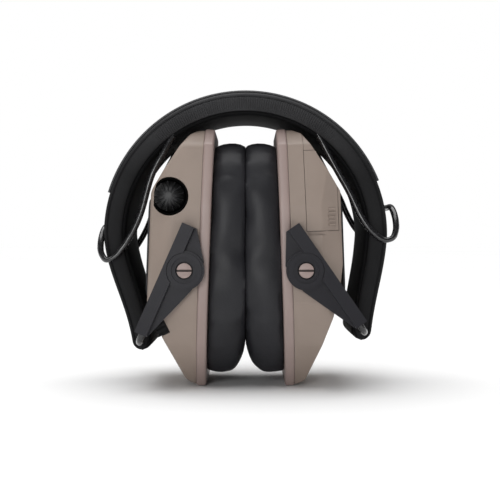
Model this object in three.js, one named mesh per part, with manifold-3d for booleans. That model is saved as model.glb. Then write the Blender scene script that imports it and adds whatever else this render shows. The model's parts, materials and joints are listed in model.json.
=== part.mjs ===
// Folding electronic earmuff, shown folded: two cups under a padded spring headband.
import * as THREE from 'three';
import { mergeVertices } from 'three/addons/utils/BufferGeometryUtils.js';
import Module from 'manifold-3d';

const wasm = await Module();
wasm.setup();

// Millimetres. X runs from the left cup to the right cup, Y from front to back, Z up.
const gap = 0.3;
const degrees = Math.PI / 180;

// Each cup is drawn about its pivot pin: x outboard, y front to back, z up.
const cup = {
  pinX: 26,
  pinZ: 51.5,
  lean: 2.1 * degrees,
  lipX: -10.2,
  faceX: 16.8,
  footZ: -51.5,
  topZ: 62.4,
  halfWidth: 39,
  wall: 2.6,
  middleZ: 5.5,
  // One half of the side view, from the foot up: y, z, corner radius.
  sideOutline: [[20, -51.5, 3], [33, -33, 6], [39, -14, 8], [39, 28, 8], [34.5, 55, 5], [22, 62.4, 4]],
  // Where the outer face turns into the lower slope: x, z, corner radius. The jack widens the left cup.
  jackSlope: [[16.8, -16, 5]],
  plainSlope: [[11.2, -21.6, 10], [16.8, -2, 10]],
  chamferX: 8,
  chamferY: 32,
};
const plate = { thickness: 4.5, proud: 0.6, bevel: 0.9, holeRadius: 20.3 };
const cushion = {
  freeX: -26.6,
  footZ: -46.5,
  topZ: 57.4,
  halfWidth: 36.8,
  roll: 4.2,
  earHalfWidth: 20,
  earHalfHeight: 31,
};
const foamLiner = { thickness: 3, clearance: 0.8 };
const speaker = { flangeRadius: 22, basketRadius: 19, magnetRadius: 11, depth: 9.4 };
const board = { thickness: 1.6, x: 8.2, fromY: -9, toY: 24, fromZ: -11, toZ: 28 };
const overlay = { thickness: 1, halfWidth: 27, fromZ: -13, toZ: 31 };
const micGrille = { backY: 30, frontY: 38.8, x: 1, z: 40, width: 10, height: 7, corner: 2 };
const post = {
  shaftRadius: 2.8,
  headRadius: 3.2,
  headHeight: 1.2,
  flangeRadius: 4.3,
  flangeThickness: 1.6,
  headY: 45,
  slotWidth: 0.8,
  slotDepth: 1,
};

const knob = { x: 8.2, z: 31.8, radius: 6.9, ribs: 13, ribDepth: 0.9, faceY: 38.4, recessRadius: 8.8 };
const recess = { floorY: 33, wall: 2, boreRadius: 2.6 };
const potentiometer = { shaftRadius: 2, bodyRadius: 3.6, bodyDepth: 4 };
const jack = { x: 11.8, z: -25.5, y: -30.6, radius: 2.6, boreRadius: 1.8, length: 9 };
const jackCover = { fromY: -37, toY: -25.6, across: 8.4, depth: 4.2, proud: 1, ribs: 4 };
const door = {
  fromX: 1.2,
  toX: 15.4,
  fromZ: 16.8,
  toZ: 52,
  backY: 30.8,
  thickness: 2,
  hingeZ: 50.6,
  hingeY: 34.2,
  knuckleRadius: 1.3,
  knuckleEnd: 6.6,
  boreRadius: 0.95,
  pinRadius: 0.65,
  topAboveHinge: 0.8,
};
const fingerSlot = { length: 9, depth: 1.4, height: 2.2 };
const cell = {
  radius: 5.2,
  length: 44,
  x: 5.8,
  z: -10,
  firstY: -28.6,
  spacing: 11,
  capRadius: 1.9,
  capHeight: 1,
};
const holder = { wall: 0.7, floor: 1.4, height: 20, fromY: -34.1, toY: -11.4 };
const contact = { halfWidth: 3, overhang: 4, thickness: 1 };

// The headband, in the folded frame.
const band = {
  centreZ: 67.2,
  outerRadius: 63.4,
  thickness: 10,
  halfWidth: 25,
  edgeRound: 3,
  crownHalf: 14,
  panelThickness: 1.1,
  panelHalfWidth: 21.8,
  endSlimming: 0.45,
  innerRound: 1,
};
const hinge = { barrelRadius: 3.6, barrelHalf: 21, wireClearance: 0.35 };
const rivet = { shaftRadius: 1.1, headRadius: 2.2, headHeight: 1, reach: 3.3, above: 8, offset: 0.7, y: 14 };
const wireRadius = 1.25;
const wireSides = 8;

// Arms slide on the fork's legs.
const fork = { legY: 42, legLength: 50, bend: 4.5 };
const arm = {
  fromA: 4.7,
  toA: 55.5,
  pinA: 37,
  pinB: 5.75,
  ribHalf: 3.3,
  innerY: 39.6,
  webY: 42.6,
  bossY: 44.3,
  ribY: 45.2,
  bossRadius: 8.5,
  holeRadius: 3.15,
  counterboreRadius: 3.8,
  counterboreDepth: 1.7,
};

// The two forks fold to different angles: each hinge lies where its fork's legs lead from the cup's pin.
function sideAt(name, sign, legTilt, panelEnd, loopX, loopZ) {
  const hingeX = cup.pinX + arm.pinA * Math.sin(legTilt) + arm.pinB * Math.cos(legTilt);
  const hingeZ = cup.pinZ - arm.pinA * Math.cos(legTilt) + arm.pinB * Math.sin(legTilt);
  return { name, sign, legTilt, panelEnd, loopX, loopZ, hingeX, hingeZ };
}

const sides = [
  sideAt('left', -1, 23.7 * degrees, 73 * degrees, 60.7, 54.6),
  sideAt('right', 1, 34.7 * degrees, 68 * degrees, 63.2, 63.6),
];

const looks = {
  tan: { color: 0x94877b, roughness: 0.55, metalness: 0 },
  tanLip: { color: 0x9a8a82, roughness: 0.45, metalness: 0 },
  blackPlastic: { color: 0x2f2f35, roughness: 0.5, metalness: 0 },
  leather: { color: 0x2a2a2d, roughness: 0.5, metalness: 0 },
  rubber: { color: 0x161618, roughness: 0.8, metalness: 0 },
  wire: { color: 0x232326, roughness: 0.35, metalness: 0.8 },
  foam: { color: 0x1d1d20, roughness: 0.95, metalness: 0 },
  steel: { color: 0xb4b6b8, roughness: 0.35, metalness: 1 },
  circuit: { color: 0x1f5a38, roughness: 0.5, metalness: 0.1 },
  cellJacket: { color: 0x4d4f55, roughness: 0.4, metalness: 0.3 },
};

function solidOf(geometry) {
  const bare = geometry.index ? geometry.clone() : geometry;
  bare.deleteAttribute('normal');
  bare.deleteAttribute('uv');
  const merged = mergeVertices(bare, 1e-4);
  return new wasm.Manifold(new wasm.Mesh({
    numProp: 3,
    vertProperties: new Float32Array(merged.attributes.position.array),
    triVerts: new Uint32Array(merged.index.array),
  }));
}

function geometryOf(solid) {
  const mesh = solid.getMesh();
  const geometry = new THREE.BufferGeometry();
  geometry.setAttribute('position', new THREE.BufferAttribute(new Float32Array(mesh.vertProperties), 3));
  geometry.setIndex(new THREE.BufferAttribute(new Uint32Array(mesh.triVerts), 1));
  geometry.computeVertexNormals();
  return geometry;
}

// A left-hand copy of a piece that was drawn with its outboard side at +x.
function mirrored(geometry) {
  const copy = geometry.clone();
  copy.deleteAttribute('normal');
  copy.deleteAttribute('uv');
  const flipped = mergeVertices(copy, 1e-4);
  flipped.scale(-1, 1, 1);
  const corners = flipped.index.array;
  for (let i = 0; i < corners.length; i += 3) {
    [corners[i], corners[i + 1]] = [corners[i + 1], corners[i]];
  }
  return flipped;
}

// A closed outline whose corners are rounded: each point is [across, up, corner radius].
function roundedOutline(points, target = new THREE.Shape()) {
  const count = points.length;
  for (let i = 0; i < count; i++) {
    const [x, y, radius] = points[i];
    const [px, py] = points[(i + count - 1) % count];
    const [nx, ny] = points[(i + 1) % count];
    const back = radius / Math.hypot(px - x, py - y);
    const ahead = radius / Math.hypot(nx - x, ny - y);
    const startX = x + (px - x) * back;
    const startY = y + (py - y) * back;
    if (i === 0) target.moveTo(startX, startY);
    else target.lineTo(startX, startY);
    if (radius > 0) target.quadraticCurveTo(x, y, x + (nx - x) * ahead, y + (ny - y) * ahead);
  }
  target.closePath();
  return target;
}

function circle(radius, x = 0, y = 0) {
  const path = new THREE.Shape();
  path.absarc(x, y, radius, 0, 2 * Math.PI, false);
  return path;
}

function extrusion(shape, depth, bevel = 0, segments = 4) {
  return new THREE.ExtrudeGeometry(shape, {
    depth: depth - 2 * bevel,
    curveSegments: segments,
    bevelEnabled: bevel > 0,
    bevelSize: bevel,
    bevelThickness: bevel,
    bevelOffset: -bevel,
    bevelSegments: 2,
  }).translate(0, 0, bevel);
}

// A shape drawn in (x, z) that runs from fromY to toY.
function alongY(shape, fromY, toY, bevel = 0, segments = 4) {
  return extrusion(shape, toY - fromY, bevel, segments).rotateX(Math.PI / 2).translate(0, toY, 0);
}

// A shape drawn in (y, z) that runs from fromX to toX.
function alongX(shape, fromX, toX, bevel = 0, segments = 4) {
  const turn = new THREE.Matrix4().set(0, 0, 1, 0, 1, 0, 0, 0, 0, 1, 0, 0, 0, 0, 0, 1);
  return extrusion(shape, toX - fromX, bevel, segments).applyMatrix4(turn).translate(fromX, 0, 0);
}

function alongZ(shape, fromZ, toZ, segments = 4) {
  return extrusion(shape, toZ - fromZ, 0, segments).translate(0, 0, fromZ);
}

function block(fromX, toX, fromY, toY, fromZ, toZ) {
  return new THREE.BoxGeometry(toX - fromX, toY - fromY, toZ - fromZ)
    .translate((fromX + toX) / 2, (fromY + toY) / 2, (fromZ + toZ) / 2);
}

// A turned piece whose axis is the Y axis through (x, z): each profile point is [radius, y].
function turnedAboutY(profile, x, z, segments = 24) {
  const points = profile.map(([radius, y]) => new THREE.Vector2(radius, y));
  return new THREE.LatheGeometry(points, segments).translate(x, 0, z);
}

// A turned piece whose axis is the X axis through z: each profile point is [radius, x].
function turnedAboutX(profile, z, segments = 28) {
  const points = profile.map(([radius, x]) => new THREE.Vector2(radius, x));
  return new THREE.LatheGeometry(points, segments).rotateZ(-Math.PI / 2).translate(0, 0, z);
}

// A wire along straight runs joined by bends.
function bentPath(points, bend) {
  const path = new THREE.CurvePath();
  let start = points[0];
  for (let i = 1; i < points.length - 1; i++) {
    const corner = points[i];
    const before = corner.clone().sub(start).setLength(bend);
    const after = points[i + 1].clone().sub(corner).setLength(bend);
    const enter = corner.clone().sub(before);
    const leave = corner.clone().add(after);
    path.add(new THREE.LineCurve3(start, enter));
    path.add(new THREE.QuadraticBezierCurve3(enter, corner, leave));
    start = leave;
  }
  path.add(new THREE.LineCurve3(start, points[points.length - 1]));
  return path;
}

function tube(path, radius, steps) {
  return new THREE.ExtrudeGeometry(circle(radius), {
    steps,
    curveSegments: wireSides / 2,
    bevelEnabled: false,
    extrudePath: path,
  });
}

// The side view, scaled about its middle.
function sideView(acrossScale, upScale) {
  const middle = (cup.topZ + cup.footZ) / 2;
  const place = ([y, z, r], side) => [side * y * acrossScale, middle + (z - middle) * upScale, r];
  const half = cup.sideOutline;
  return roundedOutline([...half.map((p) => place(p, 1)), ...half.map((p) => place(p, -1)).reverse()]);
}

// The cup's outside is what three outlines share: side view, front view and view from above.
function cupBlock(inset, slope = cup.jackSlope) {
  const halfHeight = (cup.topZ - cup.footZ) / 2;
  const side = sideView((cup.halfWidth - inset) / cup.halfWidth, (halfHeight - inset) / halfHeight);
  const face = cup.faceX - inset;
  const foot = cup.footZ + inset;
  const top = cup.topZ - inset;
  const lift = inset * 0.6;
  const openX = cup.lipX - 1;
  const frontView = [
    [openX, foot, 0],
    [-5 - lift, foot, 1],
    [-1.2 - lift, foot + 1.6, 1.5],
    ...slope.map(([x, z, r]) => [x - inset, z + lift, r]),
    [face, 34 - lift, 9],
    [1 - lift, top - 2, 2],
    [-3 - lift, top, 1.5],
    [openX, top, 0],
  ];
  const wide = cup.halfWidth - inset;
  const narrow = cup.chamferY - inset;
  const topView = [
    [openX, -wide, 0],
    [cup.chamferX, -wide, 3],
    [face, -narrow, 3],
    [face, narrow, 3],
    [cup.chamferX, wide, 3],
    [openX, wide, 0],
  ];
  return solidOf(alongX(side, openX, cup.faceX + 1))
    .intersect(solidOf(alongY(roundedOutline(frontView), -50, 50)))
    .intersect(solidOf(alongZ(roundedOutline(topView), -60, 70)));
}

// A slot with round ends, drawn in (y, z).
function slotOutline(halfWidth, halfHeight, middleZ, target = new THREE.Shape()) {
  const straight = halfHeight - halfWidth;
  target.absarc(0, middleZ + straight, halfWidth, 0, Math.PI, false);
  target.absarc(0, middleZ - straight, halfWidth, Math.PI, 2 * Math.PI, false);
  target.closePath();
  return target;
}

function doorSpace(margin) {
  const { fromX, toX, backY, fromZ, toZ } = door;
  return solidOf(block(fromX - margin, toX + margin, -50, -backY + margin, fromZ - margin, toZ + margin));
}

const shellFromX = cup.lipX + plate.thickness + gap;

function emptyShell(slope) {
  let body = cupBlock(0, slope).subtract(cupBlock(cup.wall, slope))
    .intersect(solidOf(block(shellFromX, 40, -60, 60, -80, 80)));
  const mouth = solidOf(block(shellFromX - 5, shellFromX + cup.wall, -30, 30, -38, 48));
  body = body.subtract(mouth);
  const holeRadius = post.shaftRadius + gap;
  for (const end of [-1, 1]) {
    const hole = turnedAboutY([[0, 30], [holeRadius, 30], [holeRadius, 48], [0, 48]], 0, 0);
    body = body.subtract(solidOf(end < 0 ? hole.rotateZ(Math.PI) : hole));
  }
  return body;
}

// A round pocket for the knob, sunk from the front of the cup.
function knobPocket(radius, floorY) {
  const profile = [[0, -50], [radius, -50], [radius, -floorY], [0, -floorY]];
  return solidOf(turnedAboutY(profile, knob.x, knob.z, 32));
}

function leftShell() {
  const boss = knobPocket(knob.recessRadius + recess.wall, recess.floorY - recess.wall);
  return geometryOf(emptyShell(cup.jackSlope)
    .add(boss.intersect(cupBlock(0)))
    .subtract(knobPocket(knob.recessRadius, recess.floorY))
    .subtract(knobPocket(recess.boreRadius, recess.floorY - recess.wall - 2))
    .subtract(solidOf(jackSpace(gap))));
}

function rightShell() {
  const { length, depth, height } = fingerSlot;
  const slot = block(door.fromX + 1, door.fromX + 1 + length, -45, -cup.halfWidth + depth,
    door.fromZ - height, door.fromZ + 1);
  return geometryOf(emptyShell(cup.plainSlope)
    .subtract(doorSpace(gap).intersect(cupBlock(-1)))
    .subtract(solidOf(doorPin(door.knuckleRadius - 0.2, door.fromX - 2.3, door.knuckleEnd + 3)))
    .subtract(solidOf(slot)));
}

// The jack sits square to the cup's lower slope.
const [[slopeTopX, slopeTopZ]] = cup.jackSlope;
const slopeTurn = Math.atan2(slopeTopX + 1.2, slopeTopZ - cup.footZ - 1.6);

function onLowerSlope(geometry) {
  return geometry.rotateY(slopeTurn).translate(jack.x, 0, jack.z);
}

function jackSpace(margin) {
  const half = jackCover.across / 2 + margin;
  const { depth, proud, fromY, toY } = jackCover;
  return onLowerSlope(block(-depth - margin, proud + 8 * margin, fromY - margin, toY + margin, -half, half));
}

function jackSocket() {
  const front = -jackCover.depth - gap;
  const back = front - jack.length;
  const wall = [[jack.boreRadius, back], [jack.radius, back], [jack.radius, front], [jack.boreRadius, front]];
  return onLowerSlope(turnedAboutX([...wall, wall[0]], 0, 20).translate(0, jack.y, 0));
}

// A rubber plug that fills a notch in the cup's lower front edge, ribbed for the finger.
function jackPlug() {
  let plug = solidOf(jackSpace(0)).intersect(cupBlock(-jackCover.proud));
  const pitch = jackCover.across / jackCover.ribs;
  for (let i = 0; i < jackCover.ribs; i++) {
    const z = -jackCover.across / 2 + pitch * (i + 0.5);
    const groove = onLowerSlope(block(-9, 9, -60, -20, z - pitch / 5, z + pitch / 5));
    plug = plug.subtract(solidOf(groove).subtract(cupBlock(-jackCover.proud + 0.6)));
  }
  return geometryOf(plug);
}

function doorPin(radius, fromX, toX) {
  const points = [[0, fromX], [radius, fromX], [radius, toX], [0, toX]];
  return turnedAboutX(points, 0, 14).translate(0, -door.hingeY, door.hingeZ);
}

function batteryDoor() {
  let body = cupBlock(0).subtract(cupBlock(door.thickness)).intersect(doorSpace(0));
  body = body.intersect(solidOf(block(0, 40, -60, 0, -80, door.hingeZ + door.topAboveHinge)));
  body = body.add(solidOf(doorPin(door.knuckleRadius, door.fromX, door.knuckleEnd)));
  body = body.subtract(solidOf(doorPin(door.boreRadius, -5, 12)));
  return geometryOf(body);
}

function sealPlate() {
  const outline = sideView(1 + plate.proud / cup.halfWidth, 1 + 2 * plate.proud / (cup.topZ - cup.footZ));
  let body = solidOf(alongX(outline, cup.lipX, cup.lipX + plate.thickness, plate.bevel, 3));
  const hole = [[0, -20], [plate.holeRadius, -20], [plate.holeRadius, 0], [0, 0]];
  body = body.subtract(solidOf(turnedAboutX(hole, cup.middleZ)));
  return geometryOf(body);
}

function earCushion() {
  const rise = cushion.topZ - cushion.footZ;
  const half = [[0.5, 0, 5], [0.86, 0.14, 9], [1, 0.36, 9], [1, 0.7, 9], [0.88, 0.9, 7], [0.56, 1, 5]];
  const place = ([y, z, r], side) => [side * y * cushion.halfWidth, cushion.footZ + z * rise, r];
  const front = half.map((p) => place(p, -1)).reverse();
  const outline = roundedOutline([...half.map((p) => place(p, 1)), ...front]);
  outline.holes.push(slotOutline(cushion.earHalfWidth, cushion.earHalfHeight, cup.middleZ, new THREE.Path()));
  const ring = solidOf(alongX(outline, cushion.freeX, cup.lipX - gap, cushion.roll, 3));
  const meeting = block(gap / 2 - cup.pinX, 20, -60, 60, -90, 90).rotateY(cup.lean);
  return geometryOf(ring.intersect(solidOf(meeting)));
}

function liner() {
  const outline = slotOutline(cushion.earHalfWidth - foamLiner.clearance,
    cushion.earHalfHeight - foamLiner.clearance, cup.middleZ);
  return alongX(outline, cup.lipX - gap - foamLiner.thickness, cup.lipX - gap, 0, 8);
}

function speakerDriver() {
  const back = shellFromX;
  return turnedAboutX([
    [0, back], [speaker.flangeRadius, back], [speaker.flangeRadius, back + 1.4],
    [speaker.basketRadius, back + 1.4], [speaker.magnetRadius, back + 5],
    [speaker.magnetRadius, back + speaker.depth], [0, back + speaker.depth],
  ], cup.middleZ);
}

function speakerGrille() {
  const front = cup.lipX + 0.8;
  const radius = plate.holeRadius - gap;
  return turnedAboutX([[0, front], [radius, front], [radius, front + 1.6], [0, front + 1.6]], cup.middleZ);
}

function circuitBoard() {
  return block(board.x, board.x + board.thickness, board.fromY, board.toY, board.fromZ, board.toZ);
}

function outerOverlay() {
  const points = [
    [-overlay.halfWidth, overlay.fromZ, 8], [overlay.halfWidth, overlay.fromZ, 8],
    [overlay.halfWidth, overlay.toZ, 8], [-overlay.halfWidth, overlay.toZ, 8],
  ];
  return alongX(roundedOutline(points), cup.faceX + gap / 2, cup.faceX + gap / 2 + overlay.thickness, 0.3);
}

function microphoneGrille() {
  const { x, z, width, height, corner, backY, frontY } = micGrille;
  const points = [
    [x - width / 2, z - height / 2, corner], [x + width / 2, z - height / 2, corner],
    [x + width / 2, z + height / 2, corner], [x - width / 2, z + height / 2, corner],
  ];
  const bezel = solidOf(alongY(roundedOutline(points), backY, frontY));
  return geometryOf(bezel.subtract(cupBlock(-gap)));
}

function pivotPost(end) {
  const wallInside = cup.halfWidth - cup.wall - gap;
  const headBase = post.headY - post.headHeight;
  const flangeBack = wallInside - post.flangeThickness;
  let body = solidOf(turnedAboutY([
    [0, flangeBack], [post.flangeRadius, flangeBack], [post.flangeRadius, wallInside],
    [post.shaftRadius, wallInside], [post.shaftRadius, headBase], [post.headRadius, headBase],
    [post.headRadius, post.headY - 0.4], [post.headRadius - 0.5, post.headY], [0, post.headY],
  ], 0, 0, 20));
  body = body.subtract(solidOf(block(-6, 6, post.headY - post.slotDepth, post.headY + 1,
    -post.slotWidth / 2, post.slotWidth / 2)));
  const geometry = geometryOf(body);
  return end < 0 ? geometry.rotateZ(Math.PI) : geometry;
}

function volumeKnob() {
  const points = [];
  const steps = knob.ribs * 4;
  for (let i = 0; i < steps; i++) {
    const angle = 2 * Math.PI * i / steps;
    const radius = knob.radius - (i % 4 < 2 ? 0 : knob.ribDepth);
    points.push(new THREE.Vector2(knob.x + radius * Math.cos(angle), knob.z + radius * Math.sin(angle)));
  }
  return alongY(new THREE.Shape(points), -knob.faceY, -recess.floorY - gap, 0);
}

function volumePotentiometer() {
  const { shaftRadius, bodyRadius, bodyDepth } = potentiometer;
  const tip = -recess.floorY;
  const front = tip + recess.wall + gap;
  return turnedAboutY([
    [0, tip], [shaftRadius, tip], [shaftRadius, front],
    [bodyRadius, front], [bodyRadius, front + bodyDepth], [0, front + bodyDepth],
  ], knob.x, knob.z, 20);
}

function batteryCell(index) {
  const cap = cell.z + cell.length;
  const shoulder = cap - cell.capHeight;
  const profile = [
    [0, cell.z], [cell.radius, cell.z], [cell.radius, shoulder],
    [cell.capRadius, shoulder], [cell.capRadius, cap], [0, cap],
  ];
  return new THREE.LatheGeometry(profile.map(([radius, z]) => new THREE.Vector2(radius, z)), 20)
    .rotateX(Math.PI / 2).translate(cell.x, cell.firstY + index * cell.spacing, 0);
}

function batteryHolder() {
  const { wall, floor, height, fromY, toY } = holder;
  const inner = cell.radius + gap;
  const under = cell.z - contact.thickness - 2 * gap;
  const outer = inner + wall;
  const outside = block(cell.x - outer, cell.x + outer, fromY, toY, under - floor, cell.z + height);
  const inside = block(cell.x - inner, cell.x + inner, fromY - 2, toY - wall, under, cell.z + height + 10);
  const room = cupBlock(cup.wall + gap, cup.plainSlope);
  return geometryOf(solidOf(outside).intersect(room).subtract(solidOf(inside)));
}

function contactSpring() {
  const { halfWidth, overhang, thickness } = contact;
  const fromY = cell.firstY - overhang;
  const toY = cell.firstY + cell.spacing + overhang;
  const top = cell.z - gap;
  return block(cell.x - halfWidth, cell.x + halfWidth, fromY, toY, top - thickness, top);
}

// Fork pieces are drawn in world coordinates for a right-hand side.
function legFrame(side) {
  const along = new THREE.Vector3(-Math.sin(side.legTilt), 0, Math.cos(side.legTilt));
  const across = new THREE.Vector3(-Math.cos(side.legTilt), 0, -Math.sin(side.legTilt));
  const origin = new THREE.Vector3(side.hingeX, 0, side.hingeZ);
  return { along, across, origin };
}

// A shape drawn in (a, b), a along the leg from the hinge and b towards the cup's middle.
function alongLeg(side, shape, fromY, toY, segments = 6) {
  const { along, across, origin } = legFrame(side);
  const turn = new THREE.Matrix4().makeBasis(along, across, new THREE.Vector3().crossVectors(along, across));
  const flat = extrusion(shape, toY - fromY, 0, segments).applyMatrix4(turn);
  flat.computeBoundingBox();
  return flat.translate(origin.x, fromY - flat.boundingBox.min.y, origin.z);
}

function forkWire(side) {
  const { along, origin } = legFrame(side);
  const tip = along.clone().multiplyScalar(fork.legLength).add(origin);
  const points = [
    new THREE.Vector3(tip.x, -fork.legY, tip.z),
    new THREE.Vector3(origin.x, -fork.legY, origin.z),
    new THREE.Vector3(origin.x, fork.legY, origin.z),
    new THREE.Vector3(tip.x, fork.legY, tip.z),
  ];
  return tube(bentPath(points, fork.bend), wireRadius, 30);
}

function slidingArm(side, end) {
  const ordered = (near, far) => (end < 0 ? [-far, -near] : [near, far]);
  const layer = (shape, near, far, segments) => {
    const [fromY, toY] = ordered(near, far);
    return solidOf(alongLeg(side, shape, fromY, toY, segments));
  };
  const web = roundedOutline([
    [arm.fromA, -arm.ribHalf, 0.8],
    [arm.toA, -arm.ribHalf, 0.8],
    [arm.toA, arm.ribHalf, 1],
    [arm.pinA + 6.5, arm.pinB + 6.2, 2],
    [arm.pinA - 6.5, arm.pinB + 6.2, 2],
    [arm.fromA + 2, arm.ribHalf, 1],
  ]);
  const rib = roundedOutline([
    [arm.fromA, -arm.ribHalf, 0.8], [arm.toA, -arm.ribHalf, 0.8],
    [arm.toA, arm.ribHalf - 1, 0.8], [arm.fromA, arm.ribHalf - 1, 0.8],
  ]);
  const pinAt = (radius) => circle(radius, arm.pinA, arm.pinB);
  let body = layer(web, arm.innerY, arm.webY)
    .add(layer(pinAt(arm.bossRadius), arm.innerY, arm.bossY, 12))
    .add(layer(rib, arm.innerY, arm.ribY)
      .subtract(layer(pinAt(arm.bossRadius - 0.8), arm.webY, arm.ribY + 1, 12)));
  const { along, origin } = legFrame(side);
  const from = along.clone().multiplyScalar(arm.fromA - 2).add(origin).setY(end * fork.legY);
  const to = along.clone().multiplyScalar(arm.toA + 2).add(origin).setY(end * fork.legY);
  body = body.subtract(solidOf(tube(new THREE.LineCurve3(from, to), wireRadius + hinge.wireClearance, 1)));
  body = body.subtract(layer(pinAt(arm.holeRadius), arm.innerY - 1, arm.ribY + 1, 8))
    .subtract(layer(pinAt(arm.counterboreRadius), arm.bossY - arm.counterboreDepth, arm.ribY + 1, 8));
  return geometryOf(body);
}

// Headband pieces are drawn in world coordinates for a right-hand side.
function archPoint(radius, angle) {
  return new THREE.Vector2(radius * Math.sin(angle), band.centreZ + radius * Math.cos(angle));
}

// The middle line of one half of the band, from the crown to the hinge.
function halfLine(side) {
  const middleRadius = band.outerRadius - band.thickness / 2;
  const points = [];
  const first = Math.asin((band.crownHalf + gap / 2) / middleRadius);
  for (let i = 0; i <= 12; i++) points.push(archPoint(middleRadius, first + (88 * degrees - first) * i / 12));
  const bend = new THREE.CubicBezierCurve(
    archPoint(middleRadius, 90 * degrees),
    new THREE.Vector2(middleRadius - 1, 50),
    new THREE.Vector2(side.hingeX + 1.2, side.hingeZ + 18),
    new THREE.Vector2(side.hingeX + 0.2, side.hingeZ + hinge.barrelRadius + 1.4),
  );
  return points.concat(bend.getPoints(10));
}

function headbandPad(side) {
  const line = halfLine(side);
  const outer = [];
  const inner = [];
  line.forEach((point, i) => {
    const before = line[Math.max(i - 1, 0)];
    const after = line[Math.min(i + 1, line.length - 1)];
    const along = after.clone().sub(before).normalize();
    const slim = i > line.length - 5 ? (line.length - 1 - i) / 4 : 1;
    const half = band.thickness / 2 * (1 - band.endSlimming * (1 - slim));
    outer.push(new THREE.Vector2(point.x - along.y * half, point.y + along.x * half));
    inner.push(new THREE.Vector2(point.x + along.y * half, point.y - along.x * half));
  });
  const shape = new THREE.Shape([...outer, ...inner.reverse()]);
  let body = solidOf(alongY(shape, -band.halfWidth, band.halfWidth, 0));
  const trimmed = block(band.crownHalf + gap / 2, 100, -60, 60, -10, 200);
  body = body.intersect(solidOf(trimmed));
  body = body.intersect(roundEdged());
  for (const end of [-1, 1]) body = body.subtract(solidOf(springTube(side, end, wireRadius + 0.4)));
  for (const end of [-1, 1]) body = body.subtract(solidOf(strapRivet(side, end, 0.25)));
  return geometryOf(body);
}

// What the band's front and back edges leave of a block once their outer corners are rounded off.
function roundEdged() {
  const { outerRadius, halfWidth, edgeRound, centreZ } = band;
  const profile = [
    [0, -halfWidth], [outerRadius - edgeRound, -halfWidth], [outerRadius, edgeRound - halfWidth],
    [outerRadius, halfWidth - edgeRound], [outerRadius - edgeRound, halfWidth], [0, halfWidth],
  ];
  const straight = block(0, 100, -halfWidth, halfWidth, -20, centreZ - 2);
  return solidOf(turnedAboutY(profile, 0, centreZ, 48)).add(solidOf(straight));
}

function crownPad() {
  const { outerRadius, thickness, halfWidth, edgeRound, innerRound, centreZ } = band;
  const inner = outerRadius - thickness;
  const ring = [
    [inner, innerRound - halfWidth], [inner + innerRound, -halfWidth], [outerRadius - edgeRound, -halfWidth],
    [outerRadius, edgeRound - halfWidth], [outerRadius, halfWidth - edgeRound],
    [outerRadius - edgeRound, halfWidth], [inner + innerRound, halfWidth], [inner, halfWidth - innerRound],
  ];
  let body = solidOf(turnedAboutY([...ring, ring[0]], 0, centreZ, 48));
  const limit = band.crownHalf - gap / 2;
  body = body.intersect(solidOf(block(-limit, limit, -60, 60, centreZ, 200)));
  for (const end of [-1, 1]) body = body.subtract(solidOf(crownWire(end, wireRadius + 0.4, 2)));
  return geometryOf(body);
}

const hiddenWireRadius = band.outerRadius - band.thickness / 2;
const hiddenWireY = 20.5;

function crownWire(end, radius, extra) {
  const limit = Math.asin((band.crownHalf - gap / 2 + extra) / hiddenWireRadius);
  const points = [];
  for (let i = 0; i <= 6; i++) {
    const at = archPoint(hiddenWireRadius, -limit + 2 * limit * i / 6);
    points.push(new THREE.Vector3(at.x, end * hiddenWireY, at.y));
  }
  return tube(new THREE.CatmullRomCurve3(points), radius, 8);
}

// One leg of the spring wire: hidden in the pad, out under it, round the band's edge and up outside.
function springRoute(side, end) {
  const y = (value) => end * value;
  const points = [];
  const first = Math.asin((band.crownHalf + gap / 2) / hiddenWireRadius) / degrees;
  for (const angle of [first, 20, 26]) {
    const at = archPoint(hiddenWireRadius, angle * degrees);
    points.push([at.x, hiddenWireY, at.y]);
  }
  const drop = side.loopZ;
  points.push([32.2, 22, 112], [36, 23.5, 104.5], [41.6, 24.5, 94]);
  points.push([46.6, 25, drop + 21.5], [50.2, 26.2, drop + 13.2], [55.5, 27.2, drop + 5]);
  points.push([side.loopX, 27.2, drop], [side.loopX + 3.4, 26, drop + 3], [side.loopX + 3.9, 24, drop + 9]);
  points.push([side.loopX + 3.2, 19, drop + 14.5], [side.loopX + 3, 12, drop + 16]);
  points.push([side.loopX + 3, 0, drop + 16]);
  return points.map(([px, py, pz]) => new THREE.Vector3(px, y(py), pz));
}

function springTube(side, end, radius) {
  return tube(new THREE.CatmullRomCurve3(springRoute(side, end)), radius, 24);
}

function springWire(side) {
  const front = springRoute(side, -1);
  const back = springRoute(side, 1).reverse();
  return tube(new THREE.CatmullRomCurve3([...front, ...back.slice(1)]), wireRadius, 48);
}

function outerPanel(fromAngle, toAngle) {
  const inside = band.outerRadius + gap / 2;
  const outside = inside + band.panelThickness;
  const steps = Math.max(4, Math.round((toAngle - fromAngle) / (5 * degrees)));
  const far = [];
  const near = [];
  for (let i = 0; i <= steps; i++) {
    const angle = fromAngle + (toAngle - fromAngle) * i / steps;
    far.push(archPoint(outside, angle));
    near.push(archPoint(inside, angle));
  }
  const shape = new THREE.Shape([...far, ...near.reverse()]);
  return alongY(shape, -band.panelHalfWidth, band.panelHalfWidth);
}

function hingeBarrel(side) {
  const bore = wireRadius + hinge.wireClearance;
  const half = hinge.barrelHalf;
  return turnedAboutY([
    [bore, -half], [hinge.barrelRadius, -half], [hinge.barrelRadius, half], [bore, half], [bore, -half],
  ], side.hingeX, side.hingeZ, 20);
}

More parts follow.
